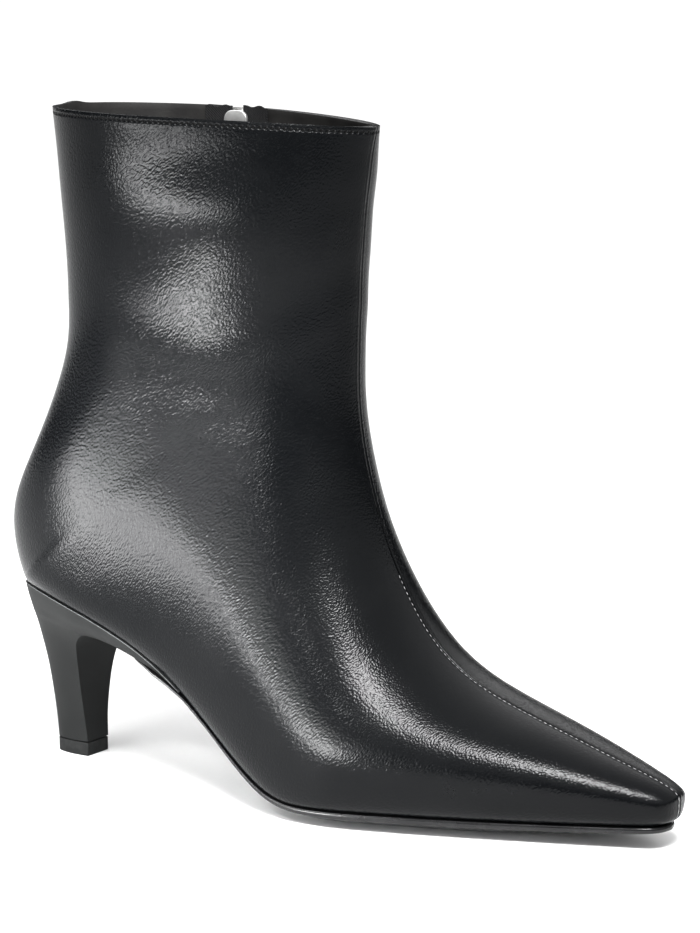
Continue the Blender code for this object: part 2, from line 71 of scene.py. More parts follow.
# Sections of the foot from the toe tip to the heel point, in % of the driving sizes
FOOT = (
    # name       sole_x sole_z seam_x seam_z sole_out sole_in wide_out wide_in belly low   high
    ("tip",        98.0,  13.0,  98.0,   5.1,    0.0,    0.0,     0.0,    0.0, 0.40, 2.00, 2.00),
    ("tip_edge",   97.5,  13.0,  99.4,   6.8,    5.2,    5.2,     6.5,    6.5, 0.40, 2.00, 2.10),
    ("tip_top",    95.9,  12.8,  99.6,  10.2,    8.9,    8.9,    11.0,   11.6, 0.39, 2.00, 2.40),
    ("toe",        92.5,  12.2,  97.6,  12.9,   12.4,   12.4,    15.6,   16.6, 0.36, 2.00, 2.50),
    ("toe_box",    86.0,  11.5,  91.9,  16.0,   19.5,   18.9,    23.5,   26.2, 0.33, 2.10, 2.50),
    ("vamp",       75.9,  10.7,  83.0,  20.7,   30.5,   28.0,    35.4,   37.8, 0.31, 2.10, 2.40),
    ("joint",      64.7,  10.1,  72.5,  26.8,   41.5,   37.2,    47.0,   46.1, 0.31, 2.10, 2.20),
    ("ball",       54.6,   9.5,  64.5,  36.2,   47.6,   41.5,    53.0,   47.3, 0.32, 2.10, 2.00),
    ("waist",      46.5,  16.7,  58.8,  51.0,   44.5,   37.8,    50.6,   44.1, 0.34, 1.90, 1.85),
    ("arch",       36.9,  44.1,  55.5,  65.4,   37.8,   32.9,    46.3,   41.7, 0.38, 1.75, 1.75),
    ("shank",      26.7,  72.4,  53.8,  78.4,   34.1,   32.3,    43.7,   41.5, 0.40, 1.75, 1.75),
    ("seat",       15.0,  91.8,  53.4,  88.5,   32.7,   32.2,    42.1,   41.0, 0.41, 1.80, 1.80),
    ("seat_back",   6.5,  99.2,  53.5,  95.6,   24.4,   24.4,    41.2,   40.9, 0.41, 1.90, 1.87),
    ("seat_end",    3.2, 100.0,  53.5,  98.4,   14.0,   14.0,    41.0,   40.9, 0.41, 2.00, 1.92),
    ("heel",        2.0, 100.0,  53.6, 100.0,    0.0,    0.0,    40.9,   40.9, 0.41, 2.10, 1.95),
)

# Sections of the counter and shaft up from the heel point, in % of what is left of the height
SHAFT = (
    # name       back_x back_z seam_x seam_z wide_out wide_in belly low   high  crown
    ("bulge",      -0.2,  11.0,  53.7,  13.4,   40.0,   41.0, 0.42, 2.15, 2.00, 0.0),
    ("counter",     2.6,  24.1,  53.8,  28.6,   40.1,   41.0, 0.43, 2.13, 2.00, 0.0),
    ("achilles",    7.3,  39.2,  54.1,  43.7,   41.2,   41.6, 0.44, 2.10, 1.93, 0.1),
    ("ankle",      10.0,  54.1,  54.4,  58.7,   42.7,   43.0, 0.44, 2.10, 1.87, 0.2),
    ("shaft",       9.8,  69.7,  54.9,  73.4,   43.5,   43.8, 0.44, 2.10, 1.87, 0.3),
    ("shaft_top",   9.0,  85.2,  55.4,  87.4,   43.9,   43.9, 0.42, 2.10, 1.80, 0.4),
    ("collar",      8.2, 100.0,  56.1, 100.0,   43.7,   43.7, 0.40, 2.10, 1.60, 0.6),
)
STEPS = 12
GIRTH_STEPS = 60
# Sections that are eased into each other, and how often, by the square of the steps
EASE_FROM, EASE_TO = 11, 17
EASE_PASSES = 1.34


class Section(NamedTuple):
    """One section of the last, in millimetres."""

    sole_x: float
    sole_z: float
    seam_x: float
    seam_z: float
    sole_out: float
    sole_in: float
    wide_out: float
    wide_in: float
    belly: float
    low: float
    high: float
    crown: float


def key_sections():
    """The sections of both tables in millimetres."""
    rows = []
    for _, sole_x, sole_z, seam_x, seam_z, sole_out, sole_in, wide_out, wide_in, *form in FOOT:
        along = [sole_x * LENGTH, sole_z * HEEL_HEIGHT, seam_x * LENGTH, seam_z * INSTEP_HEIGHT]
        widths = [width * BALL_WIDTH for width in (sole_out, sole_in, wide_out, wide_in)]
        rows.append([size / 100 for size in along + widths] + form + [0.0])
    for _, back_x, back_z, seam_x, seam_z, wide_out, wide_in, *form in SHAFT:
        back = HEEL_HEIGHT + back_z / 100 * (BACK_HEIGHT - HEEL_HEIGHT)
        seam = INSTEP_HEIGHT + seam_z / 100 * (FRONT_HEIGHT - INSTEP_HEIGHT)
        widths = [0.0, 0.0, wide_out * BALL_WIDTH / 100, wide_in * BALL_WIDTH / 100]
        rows.append([back_x * LENGTH / 100, back, seam_x * LENGTH / 100, seam] + widths + form)
    return np.array(rows)


def spline(rows, steps):
    """Rows on a cubic spline through the given ones that never overshoots, in equal steps."""
    count = len(rows)
    links = np.diag(np.full(count, 4.0)) + np.eye(count, k=1) + np.eye(count, k=-1)
    links[0, 0] = links[-1, -1] = 2.0
    ahead = rows[np.minimum(np.arange(count) + 1, count - 1)]
    behind = rows[np.maximum(np.arange(count) - 1, 0)]
    slopes = np.linalg.solve(links, 3.0 * (ahead - behind))
    before = np.diff(rows, axis=0, prepend=2 * rows[:1] - rows[1:2])
    after = np.diff(rows, axis=0, append=2 * rows[-1:] - rows[-2:-1])
    bound = 3.0 * np.minimum(np.abs(before), np.abs(after))
    slopes = np.where(before * after > 0, np.clip(slopes, -bound, bound), 0.0)
    fine = []
    for k in range((count - 1) * steps + 1):
        i = min(k // steps, count - 2)
        t = k / steps - i
        chord = rows[i + 1] - rows[i]
        bend = (1 - t) * (slopes[i] - chord) - t * (slopes[i + 1] - chord)
        fine.append(rows[i] + t * chord + t * (1 - t) * bend)
    return np.array(fine)


def last_sections(steps):
    """Sections of the whole last. The feather line's widths end at the heel point."""
    keys = key_sections()
    fine = spline(keys, steps)
    foot = (len(FOOT) - 1) * steps + 1
    fine[:foot, 4:6] = np.maximum(spline(keys[: len(FOOT), 4:6], steps), 0.0)
    fine[foot - 1 :, 4:6] = 0.0
    fine[0, 2:8] = (fine[0, 0], fine[0, 1], 0.0, 0.0, 0.0, 0.0)
    return [Section(*row) for row in fine]


def girth(row):
    """Points of one section, from the outer feather line over the front seam to the inner one."""
    turn = np.linspace(0.0, math.pi / 2, GIRTH_STEPS + 1)
    sine = np.sin(turn)
    cosine = np.append(np.cos(turn[:-1]), 0.0)
    low_up = row.belly * (1 - cosine ** (2 / row.low))
    high_up = row.belly + (1 - row.belly) * sine ** (2 / row.high)
    up = np.append(low_up, high_up[1:])
    x = row.sole_x + up * (row.seam_x - row.sole_x)
    z = row.sole_z + up * (row.seam_z - row.sole_z) + row.crown * np.sin(math.pi * up)
    sides = []
    for side, sole_width, width in ((-1, row.sole_out, row.wide_out), (1, row.sole_in, row.wide_in)):
        low_out = sole_width + (width - sole_width) * sine ** (2 / row.low)
        out = np.append(low_out, (width * cosine ** (2 / row.high))[1:])
        sides.append(np.stack([x, side * out, z], axis=1))
    return np.concatenate([sides[0], sides[1][-2::-1]])


def last_grid(sections, steps):
    """Points of all sections, eased wider low down where the heel seat turns up into the back."""
    grid = np.array([girth(row) for row in sections])
    from_seam = np.arange(1, grid.shape[1] - 1) - 2 * GIRTH_STEPS
    low_down = np.sign(from_seam) * np.minimum(np.abs(from_seam) / GIRTH_STEPS, 1.0)
    width = grid[EASE_FROM * steps : EASE_TO * steps, 1:-1, 1]
    for _ in range(int(EASE_PASSES * steps**2)):
        eased = (width[:-2] + 2 * width[1:-1] + width[2:]) / 4
        wider = np.maximum(np.abs(eased) - np.abs(width[1:-1]), 0.0)
        width[1:-1] += low_down * wider
    return grid


SECTIONS = last_sections(STEPS)
FOOT_SECTIONS = SECTIONS[: (len(FOOT) - 1) * STEPS + 1]
# The grid is laid out anew: columns at equal steps round each side, rows at equal steps up the counter
SEAM = 80
WAIST_ROW, HEEL_ROW, COLLAR_ROW = 8, 14, 21
SEAT_STEPS, SHAFT_STEPS = 64, 66


def walked(line):
    """How far along a line each of its points lies."""
    return np.append(0.0, np.cumsum(np.linalg.norm(np.diff(line, axis=0), axis=1)))


def sampled(rows, far, at):
    """Rows in between the given ones, from how far along a line these lie."""
    return np.stack([np.interp(at, far, rows[:, k]) for k in range(3)], axis=1)


def evened(line, count):
    """A line's points at equal steps along it."""
    far = walked(line)
    return sampled(line, far, np.linspace(0.0, far[-1], count))


def laid_out(grid):
    """The grid with even columns, and with even rows from the waist of the foot to the collar."""
    middle = grid.shape[1] // 2
    outer = np.array([evened(row[: middle + 1], SEAM + 1) for row in grid])
    inner = np.array([evened(row[middle:], SEAM + 1) for row in grid])
    grid = np.concatenate([outer, inner[:, 1:]], axis=1)
    parts = [grid[: WAIST_ROW * STEPS]]
    for start, end, count in ((WAIST_ROW, HEEL_ROW, SEAT_STEPS), (HEEL_ROW, COLLAR_ROW, SHAFT_STEPS)):
        rows = grid[start * STEPS : end * STEPS + 1]
        columns = [evened(rows[:, j], count + 1) for j in range(rows.shape[1])]
        parts.append(np.stack(columns, axis=1)[: count + (end == COLLAR_ROW)])
    return np.concatenate(parts)


LAST = laid_out(last_grid(SECTIONS, STEPS))
HEEL_START = WAIST_ROW * STEPS + SEAT_STEPS
# The row frame's origin is under the middle of the boot's box
ORIGIN = Vector(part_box("upper")[0]) / MM - Vector(LAST.reshape(-1, 3).min(axis=0))
ORIGIN.z = 0.0


def grid_normals(grid):
    """Outward unit normals at a grid's points."""
    along = np.gradient(grid, axis=0)
    across = np.gradient(grid, axis=1)
    normals = np.cross(across, along)
    size = np.linalg.norm(normals, axis=2, keepdims=True)
    normals = normals / np.maximum(size, 1e-9)
    outward = np.sign((normals * (grid - grid.mean(axis=(0, 1)))).sum(axis=2).mean())
    return normals * outward


def lengths(grid, axis):
    """How far along a grid's lines each point lies, from the line's start."""
    steps = np.linalg.norm(np.diff(grid, axis=axis), axis=2)
    pad = [(0, 0), (0, 0)]
    pad[axis] = (1, 0)
    return np.cumsum(np.pad(steps, pad), axis=axis)


def from_ends(grid):
    """How far each point lies from the nearer end of its section."""
    return np.minimum(lengths(grid, 1), lengths(grid[:, ::-1], 1)[:, ::-1])


# Soft troughs and ridges of the leather around the ankle, where it bends as it is worn
CREASES = (
    # side   x      z    angle length width height
    (-1,   98.0, 229.0,    0.0, 110.0, 20.0,  1.80),
    (-1,  104.0, 194.0,   -8.0,  66.0, 30.0,  1.80),
    (-1,   74.0, 158.0,  -14.0,  60.0, 30.0, -1.40),
    (-1,   90.0, 142.0,   -8.0,  26.0, 15.0,  0.45),
    (-1,  100.0, 130.0,    4.0,  32.0, 13.0, -0.40),
    (1,    52.0, 158.0,   10.0,  40.0, 12.0, -0.60),
    (1,    98.0, 150.0,  -20.0,  40.0, 11.0, -0.55),
    (1,    92.0, 172.0,   12.0,  46.0, 16.0,  0.50),
    (1,    44.0, 136.0,  -14.0,  36.0, 12.0,  0.40),
    (1,   108.0, 124.0,  -34.0,  36.0, 10.0, -0.40),
)
CREASE_FADE = 14.0


def creased(grid):
    """The grid moved along its normals by the soft creases, which fade out at the feather line."""
    normals = grid_normals(grid)
    depth = np.zeros(grid.shape[:2])
    for side, x, z, angle, length, width, height in CREASES:
        turn = math.radians(angle)
        dx = grid[:, :, 0] - x
        dz = grid[:, :, 2] - z
        along = dx * math.cos(turn) + dz * math.sin(turn)
        across = dz * math.cos(turn) - dx * math.sin(turn)
        fade = np.exp(-((along / (length / 2)) ** 2) - (across / (width / 2)) ** 2)
        depth += np.where(side * grid[:, :, 1] > 0, height * fade, 0.0)
    share = np.clip(from_ends(grid) / CREASE_FADE, 0.0, 1.0)
    share[HEEL_START:] = 1.0
    return grid + normals * (depth * share**2 * (3 - 2 * share))[:, :, None]


# Rows that are faired, less so near both ends and near the feather line, in passes in and out
FAIR_FROM, FAIR_TO = 84, 204
FAIR_FADE = 14
FAIR_EDGE = 5.0
FAIR_PASSES = 900
FAIR_IN, FAIR_OUT = 0.5, -0.504


def faired(grid):
    """The grid with small unevenness taken out over the waist and counter, and its form kept."""
    rows = np.arange(len(grid))
    share = np.clip(np.minimum(rows - FAIR_FROM, FAIR_TO - rows) / FAIR_FADE, 0.0, 1.0)[1:-1, None]
    share = (share * np.clip(from_ends(grid)[1:-1, 1:-1] / FAIR_EDGE, 0.0, 1.0))[:, :, None]
    grid = grid.copy()
    for _ in range(FAIR_PASSES):
        for pull in (FAIR_IN, FAIR_OUT):
            beside = grid[1:-1, :-2] + grid[1:-1, 2:] + grid[:-2, 1:-1] + grid[2:, 1:-1]
            grid[1:-1, 1:-1] += pull * share * (beside / 4 - grid[1:-1, 1:-1])
    return grid


BACK_LUMP = 0.8
BACK_LUMP_WIDTH = 4.0
BACK_LUMP_ROWS = 5


def lumped(grid):
    """The grid with the collar a little higher over the back seam, where its layers are folded in."""
    rise = BACK_LUMP * np.exp(-((from_ends(grid)[-1] / BACK_LUMP_WIDTH) ** 2))
    under = np.linspace(0.0, 1.0, BACK_LUMP_ROWS) ** 2
    grid = grid.copy()
    grid[-BACK_LUMP_ROWS:, :, 2] += under[:, None] * rise
    return grid


SKIN = creased(lumped(faired(LAST)))
SKIN_NORMALS = grid_normals(SKIN)
FROM_SEAM = lengths(SKIN, 1)
FROM_SEAM = FROM_SEAM - FROM_SEAM[:, SEAM : SEAM + 1]
FROM_COLLAR = lengths(SKIN, 0)
FROM_COLLAR = FROM_COLLAR[-1:] - FROM_COLLAR
# How far the back seam lies, and far away on the rows of the foot, which have none
FAR = 99.0
FROM_BACK = from_ends(SKIN)
FROM_BACK[:HEEL_START] = FAR


def to_row(points):
    """Points on the boot's axes in millimetres, as points in the row frame in metres."""
    return (np.asarray(points) + np.array(ORIGIN)) * MM


def riding(mesh, materials, body):
    """A piece of a mesh that is in the row frame, riding on a body."""
    mesh.shade_smooth()
    for material in materials:
        mesh.materials.append(material)
    item = bpy.data.objects.new(mesh.name, mesh)
    bpy.context.scene.collection.objects.link(item)
    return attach(item, body)


def piece(name, shape, materials, body="boot"):
    """A piece from a bmesh on the boot's axes in millimetres, riding on a body."""
    for vert in shape.verts:
        vert.co = (vert.co + ORIGIN) * MM
    mesh = bpy.data.meshes.new(name)
    shape.to_mesh(mesh)
    shape.free()
    return riding(mesh, materials, body)


PAST_COLLAR = 4


class Skin:
    """The leather's outer surface carried on past the collar, met along a line from the inner side."""

    def __init__(self):
        shape = bmesh.new()
        points = np.append(SKIN, [2 * SKIN[-1] - SKIN[-1 - PAST_COLLAR]], axis=0)
        verts = [[shape.verts.new(point) for point in row[SEAM:]] for row in points]
        for near, far in zip(verts, verts[1:]):
            for j in range(len(near) - 1):
                if (near[j].co - near[j + 1].co).length > 1e-6:
                    shape.faces.new((near[j], near[j + 1], far[j + 1], far[j]))
        bmesh.ops.triangulate(shape, faces=shape.faces)
        self.tree = BVHTree.FromBMesh(shape)
        shape.free()

    def at(self, x, z):
        """The point on the inner side at x and z, and the outward normal there."""
        start = Vector((x, 2 * BALL_WIDTH, z))
        point, normal, _, _ = self.tree.ray_cast(start, Vector((0.0, -1.0, 0.0)))
        return point, normal if normal.y > 0 else -normal


skin = Skin()

ZIP_X = 68.0
ZIP_LOW = 92.0
SLIT_HALF = 3.8


def slit_reach(x, z):
    """Signed distance from the edge of the zip's slit, less than nothing inside it."""
    return math.hypot(x - ZIP_X, min(z - ZIP_LOW, 0.0)) - SLIT_HALF


class Value:
    """A shader socket that takes part in Python expressions."""

    tree = None

    def __init__(self, socket):
        self.socket = socket

    @classmethod
    def feed(cls, socket, given):
        """Links a Value to a socket, or sets the socket's own number, vector or colour."""
        if isinstance(given, Value):
            cls.tree.links.new(given.socket, socket)
        else:
            socket.default_value = (*given, 1.0) if socket.type == "RGBA" else given

    @classmethod
    def node(cls, kind, settings=None, output=0, **sockets):
        """A Value of one output of a new node, from its settings and what its sockets are fed."""
        item = cls.tree.nodes.new("ShaderNode" + kind)
        for name, setting in (settings or {}).items():
            setattr(item, name, setting)
        for name, given in sockets.items():
            key = int(name[1:]) if name[0] == "_" else name.replace("_", " ")
            cls.feed(item.inputs[key], given)
        return cls(item.outputs[output])

    def math(self, operation, *others):
        sockets = {f"_{i}": value for i, value in enumerate((self, *others))}
        return Value.node("Math", {"operation": operation}, **sockets)

    def __add__(self, other):
        return self.math("ADD", other)

    __radd__ = __add__

    def __mul__(self, other):
        return self.math("MULTIPLY", other)

    def __sub__(self, other):
        return self.math("SUBTRACT", other)

    def __rsub__(self, other):
        return (self * -1.0).math("ADD", other)

    def __abs__(self):
        return self.math("ABSOLUTE")

    def ramp(self, low, high):
        """Nothing below low, one above high, smooth between them."""
        settings = {"interpolation_type": "SMOOTHSTEP"}
        return Value.node("MapRange", settings, Value=self, From_Min=low, From_Max=high)

    def bell(self, centre, width):
        """One at centre, falling to nothing a width away."""
        return 1.0 - abs(self - centre).ramp(0.0, width)


def mix(share, first, second):
    """A colour between two, which may be tuples or Values."""
    return Value.node("Mix", {"data_type": "RGBA"}, 2, Factor=share, _6=first, _7=second)


def finish(title, build, **constants):
    """A material whose build function gives the Principled shader's varying sockets as Values."""
    material = bpy.data.materials.new(title)
    material.use_nodes = True
    Value.tree = material.node_tree
    shader = material.node_tree.nodes["Principled BSDF"]
    for name, given in {**constants, **build()}.items():
        Value.feed(shader.inputs[name.replace("_", " ")], given)
    return material


def place():
    """Points of the piece in millimetres, for patterns of real size."""
    coordinates = Value.node("TexCoord", output="Object")
    return Value.node("VectorMath", {"operation": "SCALE"}, _0=coordinates, Scale=1 / MM)


def noise(at, size, detail=2.0, rough=0.5):
    """Soft noise with features of a size in millimetres."""
    return Value.node("TexNoise", Vector=at, Scale=1.0 / size, Detail=detail, Roughness=rough)


def cells(at, size, feature="F1"):
    """Distance in a pattern of cells of a size in millimetres."""
    return Value.node("TexVoronoi", {"feature": feature}, Vector=at, Scale=1.0 / size)


def bumped(height, strength=1.0):
    """A normal from heights in millimetres."""
    return Value.node("Bump", Height=height, Distance=MM, Strength=strength)


def measure(name):
    """A measure that the mesh holds at its points."""
    return Value.node("Attribute", {"attribute_name": name}, output="Fac")


PEBBLE_SIZE, PEBBLE_HEIGHT = 0.70, 0.042
WRINKLE_SIZE, WRINKLE_HEIGHT = 0.52, 0.088
WRINKLE_SLANT = -52.0
WRINKLE_STRETCH = 2.2


def leather_grain(at):
    """Height of fine calf grain in millimetres: small pebbles, and longer slanting wrinkles."""
    turned = {"Rotation": (0.0, math.radians(WRINKLE_SLANT), 0.0), "Scale": (WRINKLE_STRETCH, 1.0, 1.0)}
    slant = Value.node("Mapping", {"vector_type": "TEXTURE"}, Vector=at, **turned)
    pebbles = noise(at, PEBBLE_SIZE, 0.0)
    wrinkles = noise(slant, WRINKLE_SIZE, 0.0)
    return pebbles * PEBBLE_HEIGHT + wrinkles * WRINKLE_HEIGHT


# The stitch holes under the collar, and the reach and depth of fold, grooves and holes
HOLES_DOWN = 1.75
HOLES_PITCH = 2.0
HOLE_REACH, HOLE_DEPTH = 0.85, 0.45
HOLE_SHARE = 0.38
FOLD_REACH, FOLD_DEPTH = 0.8, 0.12
SEAM_REACH, SEAM_DEPTH = 0.55, 0.40
BACK_REACH, BACK_DEPTH = 0.5, 0.30
LIP_AWAY, LIP_REACH, LIP_HEIGHT = 1.0, 0.9, 0.12


def black_calf():
    at = place()
    seam, collar, back = measure("from_seam"), measure("below_collar"), measure("from_back")
    grain = leather_grain(at)
    beat = measure("collar_beat").math("FRACT")
    holes = collar.bell(HOLES_DOWN, HOLE_REACH) * abs(beat - 0.5).bell(0.5, HOLE_SHARE)
    lips = abs(seam).bell(LIP_AWAY, LIP_REACH) * LIP_HEIGHT
    grooves = seam.bell(0.0, SEAM_REACH) * -SEAM_DEPTH + back.bell(0.0, BACK_REACH) * -BACK_DEPTH
    fold = collar.bell(HOLES_DOWN, FOLD_REACH) * -FOLD_DEPTH + holes * -HOLE_DEPTH
    mottle = noise(at, 22.0, 3.0)
    tone = mix(mottle.ramp(0.35, 0.7), (0.0040, 0.0046, 0.0054), (0.0058, 0.0064, 0.0072))
    return {
        # Inside the stitch holes the leather is painted nearly black as painted shade
        "Base_Color": mix(holes, tone, (0.001, 0.001, 0.001)),
        "Roughness": 0.19 + mottle * 0.04 + grain * 0.2 + holes * 0.6,
        "Normal": bumped(grooves + lips + fold + grain),
    }


def lining_leather():
    at = place()
    pores = cells(at, 0.9, "SMOOTH_F1")
    mottle = noise(at, 9.0, 3.0)
    return {
        "Base_Color": mix(mottle.ramp(0.3, 0.7), (0.018, 0.017, 0.017), (0.030, 0.029, 0.028)),
        "Roughness": 0.58 + mottle * 0.14,
        "Normal": bumped(pores * 0.05 + mottle * 0.1, 0.6),
    }


def rim_bevel(item, width, angle, segments=2):
    """Rounds a piece's sharp edges by a width in millimetres."""
    bevel = item.modifiers.new("edges", "BEVEL")
    bevel.width = width * MM
    bevel.segments = segments
    bevel.limit_method = "ANGLE"
    bevel.angle_limit = math.radians(angle)


COLLAR_ROUND = 0.3


def make_upper():
    """The leather wall with the slit for the zip, its edge there drawn to the slit's outline."""
    shape = bmesh.new()
    last = SKIN.shape[1] - 1
    grid, kept = [], []
    for i, row in enumerate(SKIN):
        line = []
        for j, point in enumerate(row):
            welded = j and (i == 0 or (j == last and i >= HEEL_START))
            line.append(line[0] if welded else shape.verts.new(point))
            if not welded:
                kept.append((i, j))
        grid.append(line)
    inside = {}
    for vert in shape.verts:
        inside[vert] = vert.co.y > 0 and slit_reach(vert.co.x, vert.co.z) < 0
    for near, far in zip(grid, grid[1:]):
        for j in range(last):
            corners = list(dict.fromkeys((near[j], near[j + 1], far[j + 1], far[j])))
            if len(corners) > 2 and not all(inside[vert] for vert in corners):
                shape.faces.new(corners)
    for vert in shape.verts:
        if inside[vert] and vert.link_faces:
            out = Vector((vert.co.x - ZIP_X, min(vert.co.z - ZIP_LOW, 0.0))).normalized()
            edge_z = ZIP_LOW + SLIT_HALF * out.y if out.y else vert.co.z
            vert.co = skin.at(ZIP_X + SLIT_HALF * out.x, edge_z)[0]
    rows, columns = np.array([cell for vert, cell in zip(shape.verts, kept) if vert.link_faces]).T
    bmesh.ops.delete(shape, geom=[vert for vert in shape.verts if not vert.link_faces], context="VERTS")
    bmesh.ops.recalc_face_normals(shape, faces=shape.faces)
    leather = finish("black_calf", black_calf, Specular_IOR_Level=0.22)
    item = piece("upper_leather", shape, [leather, finish("lining_leather", lining_leather)])
    rim = lengths(SKIN, 1)[-1]
    beats = rim / rim[-1] * round(rim[-1] / HOLES_PITCH)
    for name, table in (
        ("from_seam", FROM_SEAM),
        ("below_collar", FROM_COLLAR),
        ("collar_beat", np.broadcast_to(beats, FROM_SEAM.shape)),
        ("from_back", FROM_BACK),
    ):
        layer = item.data.attributes.new(name, "FLOAT", "POINT")
        layer.data.foreach_set("value", table[rows, columns].astype(np.float32))
    wall = item.modifiers.new("wall", "SOLIDIFY")
    wall.thickness = WALL * MM
    wall.offset = -1.0
    wall.material_offset = 1
    rim_bevel(item, COLLAR_ROUND, angle=60)
    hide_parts("upper")
    return item


upper = make_upper()

# The stitches: waxed thread in short dashes. A row holds the folded edge all round the collar,
# one runs along the outer side of the front seam over the vamp, and one goes round the zip's slit.

COLLAR_DASH = 1.0
SEAM_ROW = -0.85
SEAM_PITCH, SEAM_DASH = 2.0, 1.2
SEAM_START, SEAM_TOP = 4, 80.0
SLIT_ROW = 1.7
SLIT_PITCH, SLIT_DASH = 2.3, 1.5
SLIT_SIDE_POINTS, SLIT_END_POINTS = 60, 24
THREAD_RADIUS, SEAM_THREAD_RADIUS = 0.2, 0.17
THREAD_SUNK = 0.14


def resampled(points, normals, pitch):
    """Places, directions and normals at equal steps along a line of points."""
    far = walked(points)
    count = max(round(far[-1] / pitch), 2)
    at = (np.arange(count) + 0.5) * far[-1] / count
    spots = sampled(points, far, at)
    along = np.gradient(spots, axis=0)
    along /= np.linalg.norm(along, axis=1)[:, None]
    return spots, along, sampled(normals, far, at)


def repeated(name, shape, spots, alongs, outs, material):
    """One piece that repeats a small shape, its x along a line and its y out from the boot."""
    corners = np.array([vert.co for vert in shape.verts])
    shape.verts.index_update()
    loops = [[vert.index for vert in face.verts] for face in shape.faces]
    shape.free()
    points, faces = [], []
    for k, (spot, along, out) in enumerate(zip(spots, alongs, outs)):
        along = along / np.linalg.norm(along)
        up = np.cross(along, out)
        up /= np.linalg.norm(up)
        points.append(spot + corners @ np.array([along, np.cross(up, along), up]))
        faces += [[index + k * len(corners) for index in loop] for loop in loops]
    mesh = bpy.data.meshes.new(name)
    mesh.from_pydata(to_row(np.concatenate(points)), [], faces)
    return riding(mesh, [material], "boot")


def dash(length, radius):
    """One stitch: a short thread, thick in the middle and drawn in at its ends."""
    shape = bmesh.new()
    bmesh.ops.create_uvsphere(shape, u_segments=8, v_segments=6, radius=1.0)
    bmesh.ops.rotate(shape, verts=shape.verts, matrix=Matrix.Rotation(math.pi / 2, 3, "Y"))
    bmesh.ops.scale(shape, verts=shape.verts, vec=(length / 2, radius, radius))
    return shape


def thread_of(light):
    """A thread finish, twisted along its length, of a brightness."""

    def twist():
        at = place()
        strands = noise(at, 0.22, 2.0)
        dark = (light * 0.55, light * 0.55, light * 0.56)
        return {
            "Base_Color": mix(strands.ramp(0.35, 0.65), dark, (light, light, light)),
            "Roughness": 0.38 + strands * 0.2,
            "Normal": bumped(strands * 0.05),
        }

    return twist


def skin_line(level, measures, points, normals):
    """The line where a measure along each row of points has a level, with its normals."""
    line, line_normals = [], []
    for measured, row, outs in zip(measures, points, normals):
        order = np.argsort(measured)
        line.append([np.interp(level, measured[order], row[order, k]) for k in range(3)])
        line_normals.append([np.interp(level, measured[order], outs[order, k]) for k in range(3)])
    return np.array(line), np.array(line_normals)


black_thread = finish("black_thread", thread_of(0.004), Specular_IOR_Level=0.08)
# The seam's thread is painted light grey as painted glints on its dashes
seam_thread_painted_glint = finish("seam_thread_painted_glint", thread_of(0.34))

columns = (FROM_COLLAR.T, SKIN.swapaxes(0, 1), SKIN_NORMALS.swapaxes(0, 1))
collar_line = resampled(*skin_line(HOLES_DOWN, *columns), HOLES_PITCH)
clear = [slit_reach(spot[0], spot[2]) > THREAD_RADIUS or spot[1] < 0 for spot in collar_line[0]]
spots, alongs, outs = [rows[clear] for rows in collar_line]
spots = spots - THREAD_SUNK * outs
collar_dash = dash(COLLAR_DASH, THREAD_RADIUS)
collar_stitches = repeated("collar_stitches", collar_dash, spots, alongs, outs, black_thread)

vamp = [i for i in range(SEAM_START, len(SKIN)) if SKIN[i, SEAM, 2] < SEAM_TOP]
seam_line = resampled(*skin_line(SEAM_ROW, FROM_SEAM[vamp], SKIN[vamp], SKIN_NORMALS[vamp]), SEAM_PITCH)
seam_dash = dash(SEAM_DASH, SEAM_THREAD_RADIUS)
seam_stitches = repeated("seam_stitches", seam_dash, *seam_line, seam_thread_painted_glint)

reach = SLIT_HALF + SLIT_ROW
slit_top = SKIN[-1, SEAM:, 2].max() - HOLES_DOWN - HOLES_PITCH
down = np.linspace(slit_top, ZIP_LOW, SLIT_SIDE_POINTS)
turns = np.linspace(0.1, math.pi - 0.1, SLIT_END_POINTS)
route = [(ZIP_X - reach, z) for z in down]
route += [(ZIP_X - reach * math.cos(turn), ZIP_LOW - reach * math.sin(turn)) for turn in turns]
route += [(ZIP_X + reach, z) for z in down[::-1]]
points, normals = zip(*[skin.at(x, z) for x, z in route])
slit_line = resampled(np.array(points), np.array(normals), SLIT_PITCH)
slit_dash = dash(SLIT_DASH, THREAD_RADIUS)
slit_stitches = repeated("slit_stitches", slit_dash, *slit_line, black_thread)

# The insole: a board with a thin leather sock glued over it, closing the inside of the boot.
# Its shape is the frame's own.


def sock_leather():
    at = place()
    grain = cells(at, 0.9, "SMOOTH_F1")
    worn = noise(at, 14.0, 3.0)
    return {
        "Base_Color": mix(worn.ramp(0.35, 0.7), (0.022, 0.021, 0.020), (0.036, 0.034, 0.033)),
        "Roughness": 0.55 + worn * 0.2,
        "Normal": bumped(grain * 0.05),
    }


def dressed(node, material):
    """Gives a node of the frame a finish."""
    mesh = frame["nodes"][node].data
    mesh.materials.clear()
    mesh.materials.append(material)
    mesh.shade_smooth()


dressed("insole", finish("sock_leather", sock_leather))

# The heel: a slim curved block of hard plastic covered in matte leather, its edge folded in around
# the flat breast. It is fixed up through the seat, with a lip that runs forward under the arch.

